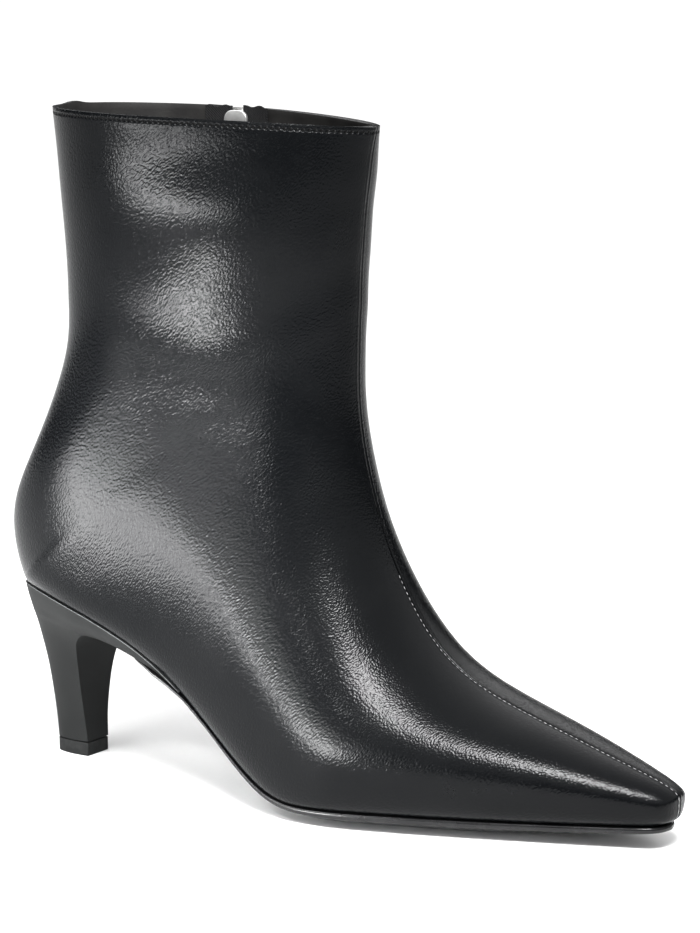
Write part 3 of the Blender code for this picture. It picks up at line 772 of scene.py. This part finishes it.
HEEL_LIFT = 5.2
HEEL_MARGIN = 0.5
HEEL = (
    # down back_x front_x half_out half_in stem square
    (0.00,  3.6,   85.0,   27.5,   27.0,  0.0,  2.3),
    (0.03,  3.8,   79.5,   27.0,   26.5,  0.18, 2.3),
    (0.06,  4.1,   72.0,   26.2,   25.7,  0.37, 2.3),
    (0.10,  4.6,   60.5,   24.6,   24.1,  0.63, 2.3),
    (0.14,  5.1,   50.0,   22.4,   22.0,  0.80, 2.3),
    (0.18,  5.6,   41.5,   20.6,   20.2,  0.95, 2.3),
    (0.22,  6.1,   36.2,   18.4,   18.1,  1.0,  2.3),
    (0.28,  6.8,   32.2,   15.8,   15.6,  1.0,  2.3),
    (0.36,  7.6,   29.8,   13.4,   13.3,  1.0,  2.3),
    (0.52,  9.4,   28.4,   10.4,   10.3,  1.0,  2.3),
    (0.70, 11.0,   28.0,    8.2,    8.2,  1.0,  2.4),
    (0.85, 12.2,   28.2,    6.8,    6.8,  1.0,  2.6),
    (1.00, 13.0,   28.8,    6.0,    6.0,  1.0,  2.8),
)
HEEL_STEPS = 6
HEEL_ROWS = spline(np.array(HEEL), HEEL_STEPS)
HEEL_POINTS = 44
BREAST_POINTS = 9
HEEL_ROUND = 0.3
RIM_HIGHLIGHT_REACH = 0.5
SHARP_ANGLE = 50.0


def feather_z(x):
    """Height of the feather line at x."""
    rows = FOOT_SECTIONS[::-1]
    return np.interp(x, [row.sole_x for row in rows], [row.sole_z for row in rows])


def heel_ring(down, back_x, front_x, half_out, half_in, stem, square):
    """One D shaped heel section, round the back and straight across the breast."""
    turn = np.linspace(-math.pi / 2, math.pi / 2, 2 * HEEL_POINTS)
    x = front_x - (front_x - back_x) * np.cos(turn) ** (2 / square)
    side = np.sign(turn) * np.abs(np.sin(turn)) ** (2 / square)
    rows = FOOT_SECTIONS[::-1]
    foot_x = [row.sole_x - HEEL_MARGIN for row in rows]
    seat_out = np.interp(x, foot_x, [row.sole_out for row in rows]) + HEEL_MARGIN
    seat_in = np.interp(x, foot_x, [row.sole_in for row in rows]) + HEEL_MARGIN
    seat = np.where(turn < 0, -seat_out, seat_in)
    y = (1 - stem) * seat + stem * side * np.where(turn < 0, half_out, half_in)
    z = (feather_z(x) - GAP) * (1 - down) + HEEL_LIFT * down
    ring = np.stack([x, y, z], axis=1)
    across = np.linspace(0.0, 1.0, BREAST_POINTS + 2)[1:-1, None]
    return np.concatenate([ring, ring[-1] + across * (ring[0] - ring[-1])])


def loft(rings):
    """A closed body through rings of points, with a face over each end."""
    shape = bmesh.new()
    points = [[shape.verts.new(point) for point in ring] for ring in rings]
    across = len(points[0])
    for near, far in zip(points, points[1:]):
        for j in range(across):
            k = (j + 1) % across
            shape.faces.new((near[j], near[k], far[k], far[j]))
    shape.faces.new(points[0])
    shape.faces.new(points[-1])
    bmesh.ops.remove_doubles(shape, verts=shape.verts, dist=1e-3)
    bmesh.ops.dissolve_degenerate(shape, dist=1e-4, edges=shape.edges)
    bmesh.ops.recalc_face_normals(shape, faces=shape.faces)
    return shape


def heel_leather():
    at = place()
    grain = noise(at, 0.5, 3.0, 0.6)
    broad = noise(at, 16.0, 2.0)
    tone = mix(broad.ramp(0.3, 0.7), (0.012, 0.013, 0.013), (0.017, 0.018, 0.018))
    return {
        # A narrow band at the top rim is painted pale grey as a painted highlight of the rim's edge
        "Base_Color": mix(measure("below_rim").bell(0.0, RIM_HIGHLIGHT_REACH), tone, (0.14, 0.145, 0.145)),
        "Roughness": 0.50 + broad * 0.10 + grain * 0.06,
        "Normal": bumped(grain * 0.02),
    }


heel_cover = finish("heel_leather", heel_leather, Specular_IOR_Level=0.3)
heel = piece("heel_block", loft([heel_ring(*row) for row in HEEL_ROWS]), [heel_cover])
heel.data.set_sharp_from_angle(angle=math.radians(SHARP_ANGLE))
below_rim = heel.data.attributes.new("below_rim", "FLOAT", "POINT")
for vert, mark in zip(heel.data.vertices, below_rim.data):
    at = vert.co / MM - ORIGIN
    mark.value = feather_z(at.x) - GAP - at.z
rim_bevel(heel, HEEL_ROUND, SHARP_ANGLE, segments=3)
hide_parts("heel")

# The top piece: a small tip of hard rubber with the outline of the heel's lower end. It is nailed
# up into the heel, and takes the wear of each step.

TOP_ROUND = 0.4


def tip_rubber():
    at = place()
    pits = cells(at, 0.7)
    worn = noise(at, 3.0, 4.0)
    return {
        "Base_Color": mix(worn.ramp(0.4, 0.7), (0.016, 0.017, 0.017), (0.030, 0.031, 0.031)),
        "Roughness": 0.55 + worn * 0.2,
        "Normal": bumped(pits * 0.03 + worn * 0.04),
    }


tip = heel_ring(*HEEL_ROWS[-1])
rings = []
for z in (0.0, (HEEL_LIFT - GAP) / 2, HEEL_LIFT - GAP):
    ring = tip.copy()
    ring[:, 2] = z
    rings.append(ring)
top_piece = piece("heel_tip", loft(rings), [finish("tip_rubber", tip_rubber, Specular_IOR_Level=0.3)])
top_piece.data.set_sharp_from_angle(angle=math.radians(SHARP_ANGLE))
rim_bevel(top_piece, TOP_ROUND, SHARP_ANGLE)
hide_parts("top_piece")

# The outsole: thin moulded rubber with a polished edge, cemented under the upper from the toe to
# the arch. Its back end is drawn in and lapped by the heel's lip.

SOLE_EDGE = (
    # x in % of LENGTH, thickness, how far out of the feather line
    (22.0, 1.0, -8.0),
    (25.0, 1.0, -2.5),
    (28.5, 1.0, 0.7),
    (32.0, 1.0, 0.7),
    (38.0, 1.1, 0.2),
    (50.0, 1.8, 0.5),
    (60.0, 2.4, 1.0),
    (92.0, 2.2, 1.0),
    (99.0, 1.8, 1.0),
)
SOLE_ROUND = 0.5
SOLE_BACK_X = 57.0
# Rows of the heel that belong to its lip
LIP_KEYS = 5
# Where the underside lies flat on the floor, and how it lifts off past both ends and at the edges
FLAT_FROM, FLAT_TO = 147.0, 196.0
FLAT_FADE = 34.0
EDGE_ROLL = 16.0
LEAST_FLAT = 0.25
EDGE_TURNS = 7
UNDER_POINTS = 6
# The stretch of the edge in front of the heel's lip, painted paler as a painted highlight
SHEEN_PAINT_X = 75.0
SHEEN_PAINT_REACH = 13.0


def outline(sections, margin):
    """The feather line's outer and inner edges from the toe tip back, moved out by margins."""
    inner = [(row.sole_x, row.sole_in) for row in sections[:0:-1]]
    outer = [(row.sole_x, -row.sole_out) for row in sections]
    points = np.array(inner + outer)
    along = np.gradient(points, axis=0)
    along /= np.linalg.norm(along, axis=1)[:, None]
    margin = np.append(margin[:0:-1], margin)[:, None]
    moved = points + margin * np.stack([-along[:, 1], along[:, 0]], axis=1)
    tip = len(inner)
    return moved[tip:], moved[tip::-1]


def lip_drop(x):
    """How far the heel's lip lies under the feather line at x, and nothing in front of it."""
    lip = HEEL_ROWS[: LIP_KEYS * HEEL_STEPS + 1][::-1]
    down = np.interp(x, lip[:, 2], lip[:, 0], right=0.0)
    return down * (feather_z(x) - HEEL_LIFT) + (GAP if down > 0 else 0.0)


def sole_flat(x):
    """One where the sole lies flat on the floor, falling smoothly to nothing past both ends."""
    away = np.clip(max(FLAT_FROM - x, x - FLAT_TO) / FLAT_FADE, 0.0, 1.0)
    return 1 - away * away * (3 - 2 * away)


def sole_rubber():
    at = place()
    stipple = cells(at, 1.1)
    broad = noise(at, 12.0, 3.0)
    tone = mix(broad.ramp(0.35, 0.7), (0.010, 0.010, 0.011), (0.018, 0.018, 0.019))
    flat = abs(Value.node("SeparateXYZ", output="Z", Vector=Value.node("NewGeometry", output="Normal")))
    along = Value.node("SeparateXYZ", output="X", Vector=at)
    # The edge in front of the heel's lip is painted paler as a painted highlight, fading out where the
    # face turns flat
    painted_sheen = along.bell(ORIGIN.x + SHEEN_PAINT_X, SHEEN_PAINT_REACH) * (1.0 - flat.ramp(0.6, 0.9))
    return {
        "Base_Color": mix(painted_sheen, tone, (0.10, 0.10, 0.10)),
        "Roughness": 0.17 + broad * 0.12,
        "Normal": bumped(stipple * 0.02 + broad * 0.06),
    }


def make_outsole():
    """The sole as rings across it: a rounded edge, and an underside crowned down to the floor."""
    sections = [row for row in FOOT_SECTIONS if row.sole_x > SOLE_BACK_X]
    turns = np.linspace(-math.pi / 2, math.pi / 2, EDGE_TURNS)
    edge_x, thicknesses, margins = np.array(SOLE_EDGE).T
    edge_x = edge_x * LENGTH / 100
    foot_x = [row.sole_x for row in sections]
    margin = np.interp(foot_x, edge_x, margins)
    edges = [outline(sections, margin + SOLE_ROUND * math.cos(turn)) for turn in turns]
    rises = np.linspace(1.0, 0.0, UNDER_POINTS)[1:]
    rings = []
    for i, row in enumerate(sections):
        thickness = np.interp(row.sole_x, edge_x, thicknesses)
        top_z = row.sole_z - GAP - lip_drop(row.sole_x)
        low_z = top_z - thickness
        middle_z = low_z * (1 - sole_flat(row.sole_x))
        heights = [(top_z + low_z) / 2 - math.sin(turn) * thickness / 2 for turn in turns]
        outer = [(*edge[0][i], z) for edge, z in zip(edges, heights)]
        inner = [(*edge[1][i], z) for edge, z in zip(edges, heights)]
        under = []
        for end, order in ((outer[-1], rises), (inner[-1], rises[::-1])):
            flat = max(1 - EDGE_ROLL / max(abs(end[1]), GAP), LEAST_FLAT)
            for rise in order:
                share = flat + (1 - flat) * rise
                under.append((end[0], share * end[1], middle_z + (low_z - middle_z) * rise**2))
        rings.append(outer + under + inner[::-1])
    item = piece("outsole_edge", loft(rings), [finish("sole_rubber", sole_rubber)])
    item.data.set_sharp_from_angle(angle=math.radians(SHARP_ANGLE))
    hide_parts("outsole")
    return item


outsole = make_outsole()

# The zip's tapes: two strips of woven polyester, sewn behind the slit in the inner side, with
# their raw ends standing a little over the collar.

TAPE_THICKNESS = 0.7
TAPE_REACH = 13.0
TAPE_LOW = ZIP_LOW - 2 * SLIT_HALF
TAPE_RISE = 0.2
CHAIN_HALF = 2.2
TAPE_STATIONS = 70
TAPE_ACROSS = 9
FRAY = 0.45
TWILL, RIBS = 0.9, 1.3


def collar_z(x):
    """Height of the collar's inner side at x."""
    rim = LAST[-1, SEAM:]
    return float(np.interp(x, rim[::-1, 0], rim[::-1, 2]))


def woven_tape():
    at = place()
    axes = Value.node("SeparateXYZ", Vector=at)
    across, up = axes, Value(axes.socket.node.outputs["Z"])
    twill = ((across + up) * (2 * math.pi / TWILL)).math("SINE")
    ribs = (across * (2 * math.pi / RIBS)).math("SINE")
    fuzz = noise(at, 0.35, 3.0)
    return {
        "Base_Color": mix(fuzz.ramp(0.3, 0.7), (0.010, 0.010, 0.011), (0.026, 0.026, 0.027)),
        "Roughness": 0.78 + fuzz * 0.15,
        "Normal": bumped(twill * 0.06 + ribs * 0.05 + fuzz * 0.10),
    }


zip_top = collar_z(ZIP_X)
tape_cloth = finish("woven_tape", woven_tape)
for name, node, side in (("tape_back", "zip_tape_back", -1), ("tape_front", "zip_tape_front", 1)):
    offsets = side * np.linspace(CHAIN_HALF + GAP, TAPE_REACH, TAPE_ACROSS)
    rings = []
    for share in np.linspace(0.0, 1.0, TAPE_STATIONS):
        ring = []
        for depth, order in ((WALL + GAP, 1), (WALL + GAP + TAPE_THICKNESS, -1)):
            for k, offset in list(enumerate(offsets))[::order]:
                end = zip_top + TAPE_RISE + FRAY * math.sin(5.0 * k + 2.0 * side) * share**8
                point, out = skin.at(ZIP_X + offset, TAPE_LOW + share * (end - TAPE_LOW))
                ring.append(point - out * depth)
        rings.append(ring)
    tape = piece(name, loft(rings), [tape_cloth])
    tape.data.set_sharp_from_angle(angle=math.radians(SHARP_ANGLE))
    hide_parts(node)

# The zip's chain: two rows of small metal teeth, clamped on the edges of the tapes and closed one
# between another up to the slider.

TOOTH_PITCH = 1.5
TOOTH_SIZE = (1.0, 2.1, 2.9)
TOOTH_ROUND = 0.22
TOOTH_OFFSET = 0.65
CHAIN_DEEP = 1.25
SLIDER_HALF_HEIGHT = 5.5
POST_LOW = 2.4


def zip_metal():
    at = place()
    scratches = noise(at, 0.4, 3.0)
    dull = noise(at, 4.0, 2.0)
    return {
        "Base_Color": mix(dull.ramp(0.35, 0.7), (0.74, 0.74, 0.73), (0.86, 0.86, 0.85)),
        "Roughness": 0.30 + dull * 0.08 + scratches * 0.06,
        "Normal": bumped(scratches * 0.008),
    }


silver = finish("zip_silver", zip_metal, Metallic=0.8)
tooth = bmesh.new()
bmesh.ops.create_cube(tooth, size=1.0)
bmesh.ops.scale(tooth, verts=tooth.verts, vec=TOOTH_SIZE)
bmesh.ops.bevel(tooth, geom=tooth.edges, offset=TOOTH_ROUND, segments=2, affect="EDGES", profile=0.5)
chain_top = zip_top - SLIDER_HALF_HEIGHT + POST_LOW - GAP
spots, alongs, outs = [], [], []
for k in range(int((chain_top - ZIP_LOW - GAP) / TOOTH_PITCH * 2) - 1):
    side = 1 if k % 2 else -1
    z = ZIP_LOW + GAP + TOOTH_PITCH / 2 * (k + 1)
    point, out = skin.at(ZIP_X, z)
    ahead = skin.at(ZIP_X, z + 1.0)[0] - point
    across = Vector(out).cross(ahead).normalized()
    spots.append(np.array(point - out * CHAIN_DEEP + across * side * TOOTH_OFFSET))
    alongs.append(np.array(ahead.normalized()))
    outs.append(np.array(out))
chain = repeated("zip_teeth", tooth, spots, alongs, outs, silver)
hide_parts("zip_chain")

# The zip's slider: two cast metal plates joined by a post, with a crown over the front one that
# holds the pull. It stays at the top of the chain, as when the boot is closed.

SLIDER_HALF_WIDTH = 4.5
SLIDER_CORNER = 1.6
BACK_TOP, BACK_CORNER = 4.4, 3.2
SLIDER_FRONT = (0.3, 1.7)
SLIDER_BACK = (-5.0, -3.6)
POST_HALF_WIDTH, POST_CORNER = 1.6, 0.6
CROWN_HALF_WIDTH = 1.0
# The crown's outer and inner edges, as (out from the skin, up) from the slider's middle
CROWN = (
    (1.2, -3.5), (2.4, -3.5), (3.9, -2.6), (4.4, -1.0), (4.4, 1.0), (3.9, 2.6), (2.4, 3.2), (1.2, 3.2),
    (1.2, 2.0), (2.6, 2.0), (3.2, 1.2), (3.2, -1.4), (2.6, -2.3), (1.2, -2.3),
)
PIVOT_OUT, PIVOT_UP = 2.45, -1.0
EDGE_ROUND = 0.25
PLATE_SHARP_ANGLE = 40.0

joint = frame["joints"][0]
pin_axis = Vector(joint["axis"]).normalized()
zip_out = Vector((0.0, 0.0, 1.0)).cross(pin_axis).normalized()
zip_up = pin_axis.cross(zip_out)
PIVOT = Vector(joint["pos_m"]) / MM - ORIGIN


def rounded(half_width, low, high, corner):
    """A rectangle's outline with rounded corners."""
    points = []
    for centre_x, centre_z, start in (
        (half_width - corner, high - corner, 0),
        (corner - half_width, high - corner, 90),
        (corner - half_width, low + corner, 180),
        (half_width - corner, low + corner, 270),
    ):
        for angle in range(start, start + 91, 15):
            turn = math.radians(angle)
            points.append((centre_x + corner * math.cos(turn), centre_z + corner * math.sin(turn)))
    return points


def plate(outlines, near, far, turn=0.0):
    """A plate with rounded edges from flat outlines, the later ones holes, between two depths."""
    curve = bpy.data.curves.new("plate", "CURVE")
    curve.dimensions = "2D"
    curve.fill_mode = "BOTH"
    curve.extrude = (far - near) / 2 - EDGE_ROUND
    curve.bevel_depth = EDGE_ROUND
    curve.bevel_resolution = 2
    curve.offset = -EDGE_ROUND
    for points in outlines:
        line = curve.splines.new("POLY")
        line.points.add(len(points) - 1)
        for point, (x, z) in zip(line.points, points):
            point.co = (x, z, 0.0, 1.0)
        line.use_cyclic_u = True
    item = bpy.data.objects.new("plate", curve)
    mesh = bpy.data.meshes.new_from_object(item)
    stand = Matrix.Rotation(turn, 4, "Z") @ Matrix.Translation((0.0, (near + far) / 2, 0.0))
    mesh.transform(stand @ Matrix.Rotation(math.pi / 2, 4, "X"))
    bpy.data.objects.remove(item)
    bpy.data.curves.remove(curve)
    return mesh


def assembled(name, meshes, origin, body):
    """A piece of metal plates in the zip's own directions, from an origin on the boot's axes."""
    shape = bmesh.new()
    for mesh in meshes:
        shape.from_mesh(mesh)
        bpy.data.meshes.remove(mesh)
    bmesh.ops.remove_doubles(shape, verts=shape.verts, dist=1e-3)
    stand = Matrix((pin_axis, zip_out, zip_up)).transposed().to_4x4()
    shape.transform(Matrix.Translation(origin) @ stand)
    bmesh.ops.recalc_face_normals(shape, faces=shape.faces)
    item = piece(name, shape, [silver], body)
    item.data.set_sharp_from_angle(angle=math.radians(PLATE_SHARP_ANGLE))
    return item


body_outline = rounded(SLIDER_HALF_WIDTH, -SLIDER_HALF_HEIGHT, SLIDER_HALF_HEIGHT, SLIDER_CORNER)
back_outline = rounded(SLIDER_HALF_WIDTH, -SLIDER_HALF_HEIGHT, BACK_TOP, BACK_CORNER)
post_outline = rounded(POST_HALF_WIDTH, POST_LOW, BACK_TOP - GAP, POST_CORNER)
seat = PIVOT - zip_out * PIVOT_OUT - zip_up * PIVOT_UP
slider = assembled(
    "slider_body",
    [
        plate([body_outline], *SLIDER_FRONT),
        plate([back_outline], *SLIDER_BACK),
        plate([post_outline], SLIDER_BACK[1] - GAP, SLIDER_FRONT[0] + GAP),
        plate([CROWN], -CROWN_HALF_WIDTH, CROWN_HALF_WIDTH, math.pi / 2),
    ],
    seat,
    "boot",
)
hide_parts("zip_slider")

# The pull tab: a flat cast metal tab with a round hole near its end. Two arms hang it on a pin under
# the slider's crown, and it swings there.

PIN_RADIUS = 0.5
ARM_INSIDE, ARM_OUTSIDE = 1.4, 2.6
ARM_LAP, ARM_CORNER = 1.0, 0.45
TAB_HALF_WIDTH = 3.2
TAB_HALF = 0.5
TAB_TOP, TAB_END = 6.0, 25.0
TAB_CORNER = 2.0
HOLE_RADIUS = 1.3
HOLE_DOWN = 21.0


def circle(radius, down):
    """A circle's outline, some way down from the pin."""
    turns = np.linspace(0.0, 2 * math.pi, 33)[:-1]
    return [(radius * math.cos(turn), radius * math.sin(turn) - down) for turn in turns]


tab_outline = rounded(TAB_HALF_WIDTH, -TAB_END, -TAB_TOP, TAB_CORNER)
pull_meshes = [plate([tab_outline, circle(HOLE_RADIUS, HOLE_DOWN)], -TAB_HALF, TAB_HALF)]
arm_middle, arm_half = (ARM_INSIDE + ARM_OUTSIDE) / 2, (ARM_OUTSIDE - ARM_INSIDE) / 2
arm_outline = rounded(arm_half, -TAB_TOP - ARM_LAP, PIN_RADIUS, ARM_CORNER)
for side in (-1, 1):
    arm = [(x + side * arm_middle, z) for x, z in arm_outline]
    pull_meshes.append(plate([arm], -TAB_HALF, TAB_HALF))
pull_meshes.append(plate([circle(PIN_RADIUS, 0.0)], -ARM_OUTSIDE, ARM_OUTSIDE, math.pi / 2))
pull = assembled("pull_tab", pull_meshes, PIVOT, "pull")
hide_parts("zip_pull")

# The studio: pale paper under a wide soft sky, and soft boxes that draw the highlights on the
# leather. The camera stands at the photograph's angle.

PHOTO_WIDTH = 700
FOCAL_PIXELS = 3006
SENSOR = 36.0
TARGET = Vector((131.3, 0.0, 105.0))
AZIMUTH, ELEVATION = 32.0, 9.73
YAW, PITCH = 0.145, 0.405
DISTANCE = 1000.0


def floor_paper():
    at = place()
    fibre = noise(at, 2.0, 3.0)
    return {
        "Base_Color": mix(fibre, (0.90, 0.90, 0.90), (0.93, 0.93, 0.93)),
        "Roughness": 0.75 + fibre * 0.1,
    }


FLOOR_REACH = 60.0
CONTRAST = 0.78
SKY_POWER = 3.7
SKY_ANGLE = 150.0

shape = bmesh.new()
bmesh.ops.create_grid(shape, x_segments=2, y_segments=2, size=FLOOR_REACH)
mesh = bpy.data.meshes.new("floor")
shape.to_mesh(mesh)
shape.free()
mesh.materials.append(finish("pale_floor", floor_paper))
floor = bpy.data.objects.new("floor", mesh)
bpy.context.scene.collection.objects.link(floor)

bpy.context.scene.view_settings.view_transform = "Standard"
bpy.context.scene.view_settings.gamma = CONTRAST
world = bpy.data.worlds.new("studio")
bpy.context.scene.world = world
world.use_nodes = True
world.node_tree.nodes["Background"].inputs["Strength"].default_value = 0.0

sky = bpy.data.lights.new("sky", "SUN")
sky.energy = SKY_POWER
sky.angle = math.radians(SKY_ANGLE)
bpy.context.scene.collection.objects.link(bpy.data.objects.new("sky", sky))

# Soft boxes around the boot: degrees round from its outer side, then metres
SOFT_BOXES = (
    # name  azimuth away height wide high power
    ("counter_box", -49.5, 0.220, 0.070, 0.105, 0.06, 0.080),
    ("shaft_box", -18.0, 0.30, 0.030, 0.15, 0.05, 0.25),
    ("collar_box", -26.0, 0.21, 0.199, 0.20, 0.02, 0.14),
    ("side_panel", -20.0, 0.80, 0.17, 0.80, 0.12, 0.55),
    ("overhead",   36.0, 0.66, 1.00, 0.46, 0.38, 5.0),
    ("behind",   -165.0, 1.10, 0.45, 0.40, 0.30, 0.05),
)
SPREAD = 80.0
MIDDLE = Vector((0.0, 0.0, 0.11))
for name, azimuth, away, height, wide, high, power in SOFT_BOXES:
    turn = math.radians(azimuth)
    lamp = bpy.data.lights.new(name, "AREA")
    lamp.shape = "RECTANGLE"
    lamp.size = wide
    lamp.size_y = high
    lamp.energy = power
    lamp.spread = math.radians(SPREAD)
    box = bpy.data.objects.new(name, lamp)
    box.location = (away * math.sin(turn), -away * math.cos(turn), height)
    box.rotation_euler = (MIDDLE - box.location).to_track_quat("-Z", "Y").to_euler()
    box.visible_camera = False
    bpy.context.scene.collection.objects.link(box)

azimuth, elevation = math.radians(AZIMUTH), math.radians(ELEVATION)
level = math.cos(elevation)
back = Vector((math.sin(azimuth) * level, -math.cos(azimuth) * level, math.sin(elevation)))
right = Vector((math.cos(azimuth), math.sin(azimuth), 0.0))
up = back.cross(right)
yaw, pitch = math.radians(YAW), math.radians(PITCH)
ahead = (right * math.sin(yaw) - back * math.cos(yaw)) * math.cos(pitch) + up * math.sin(pitch)
right = ahead.cross(Vector((0.0, 0.0, 1.0))).normalized()
lens = bpy.data.cameras.new("photo_view")
lens.sensor_fit = "HORIZONTAL"
lens.sensor_width = SENSOR
lens.lens = SENSOR * FOCAL_PIXELS / PHOTO_WIDTH
camera = bpy.data.objects.new("photo_view", lens)
camera.matrix_world = Matrix((right, right.cross(ahead), -ahead)).transposed().to_4x4()
camera.location = (TARGET + ORIGIN + DISTANCE * back) * MM
bpy.context.scene.collection.objects.link(camera)
bpy.context.scene.camera = camera
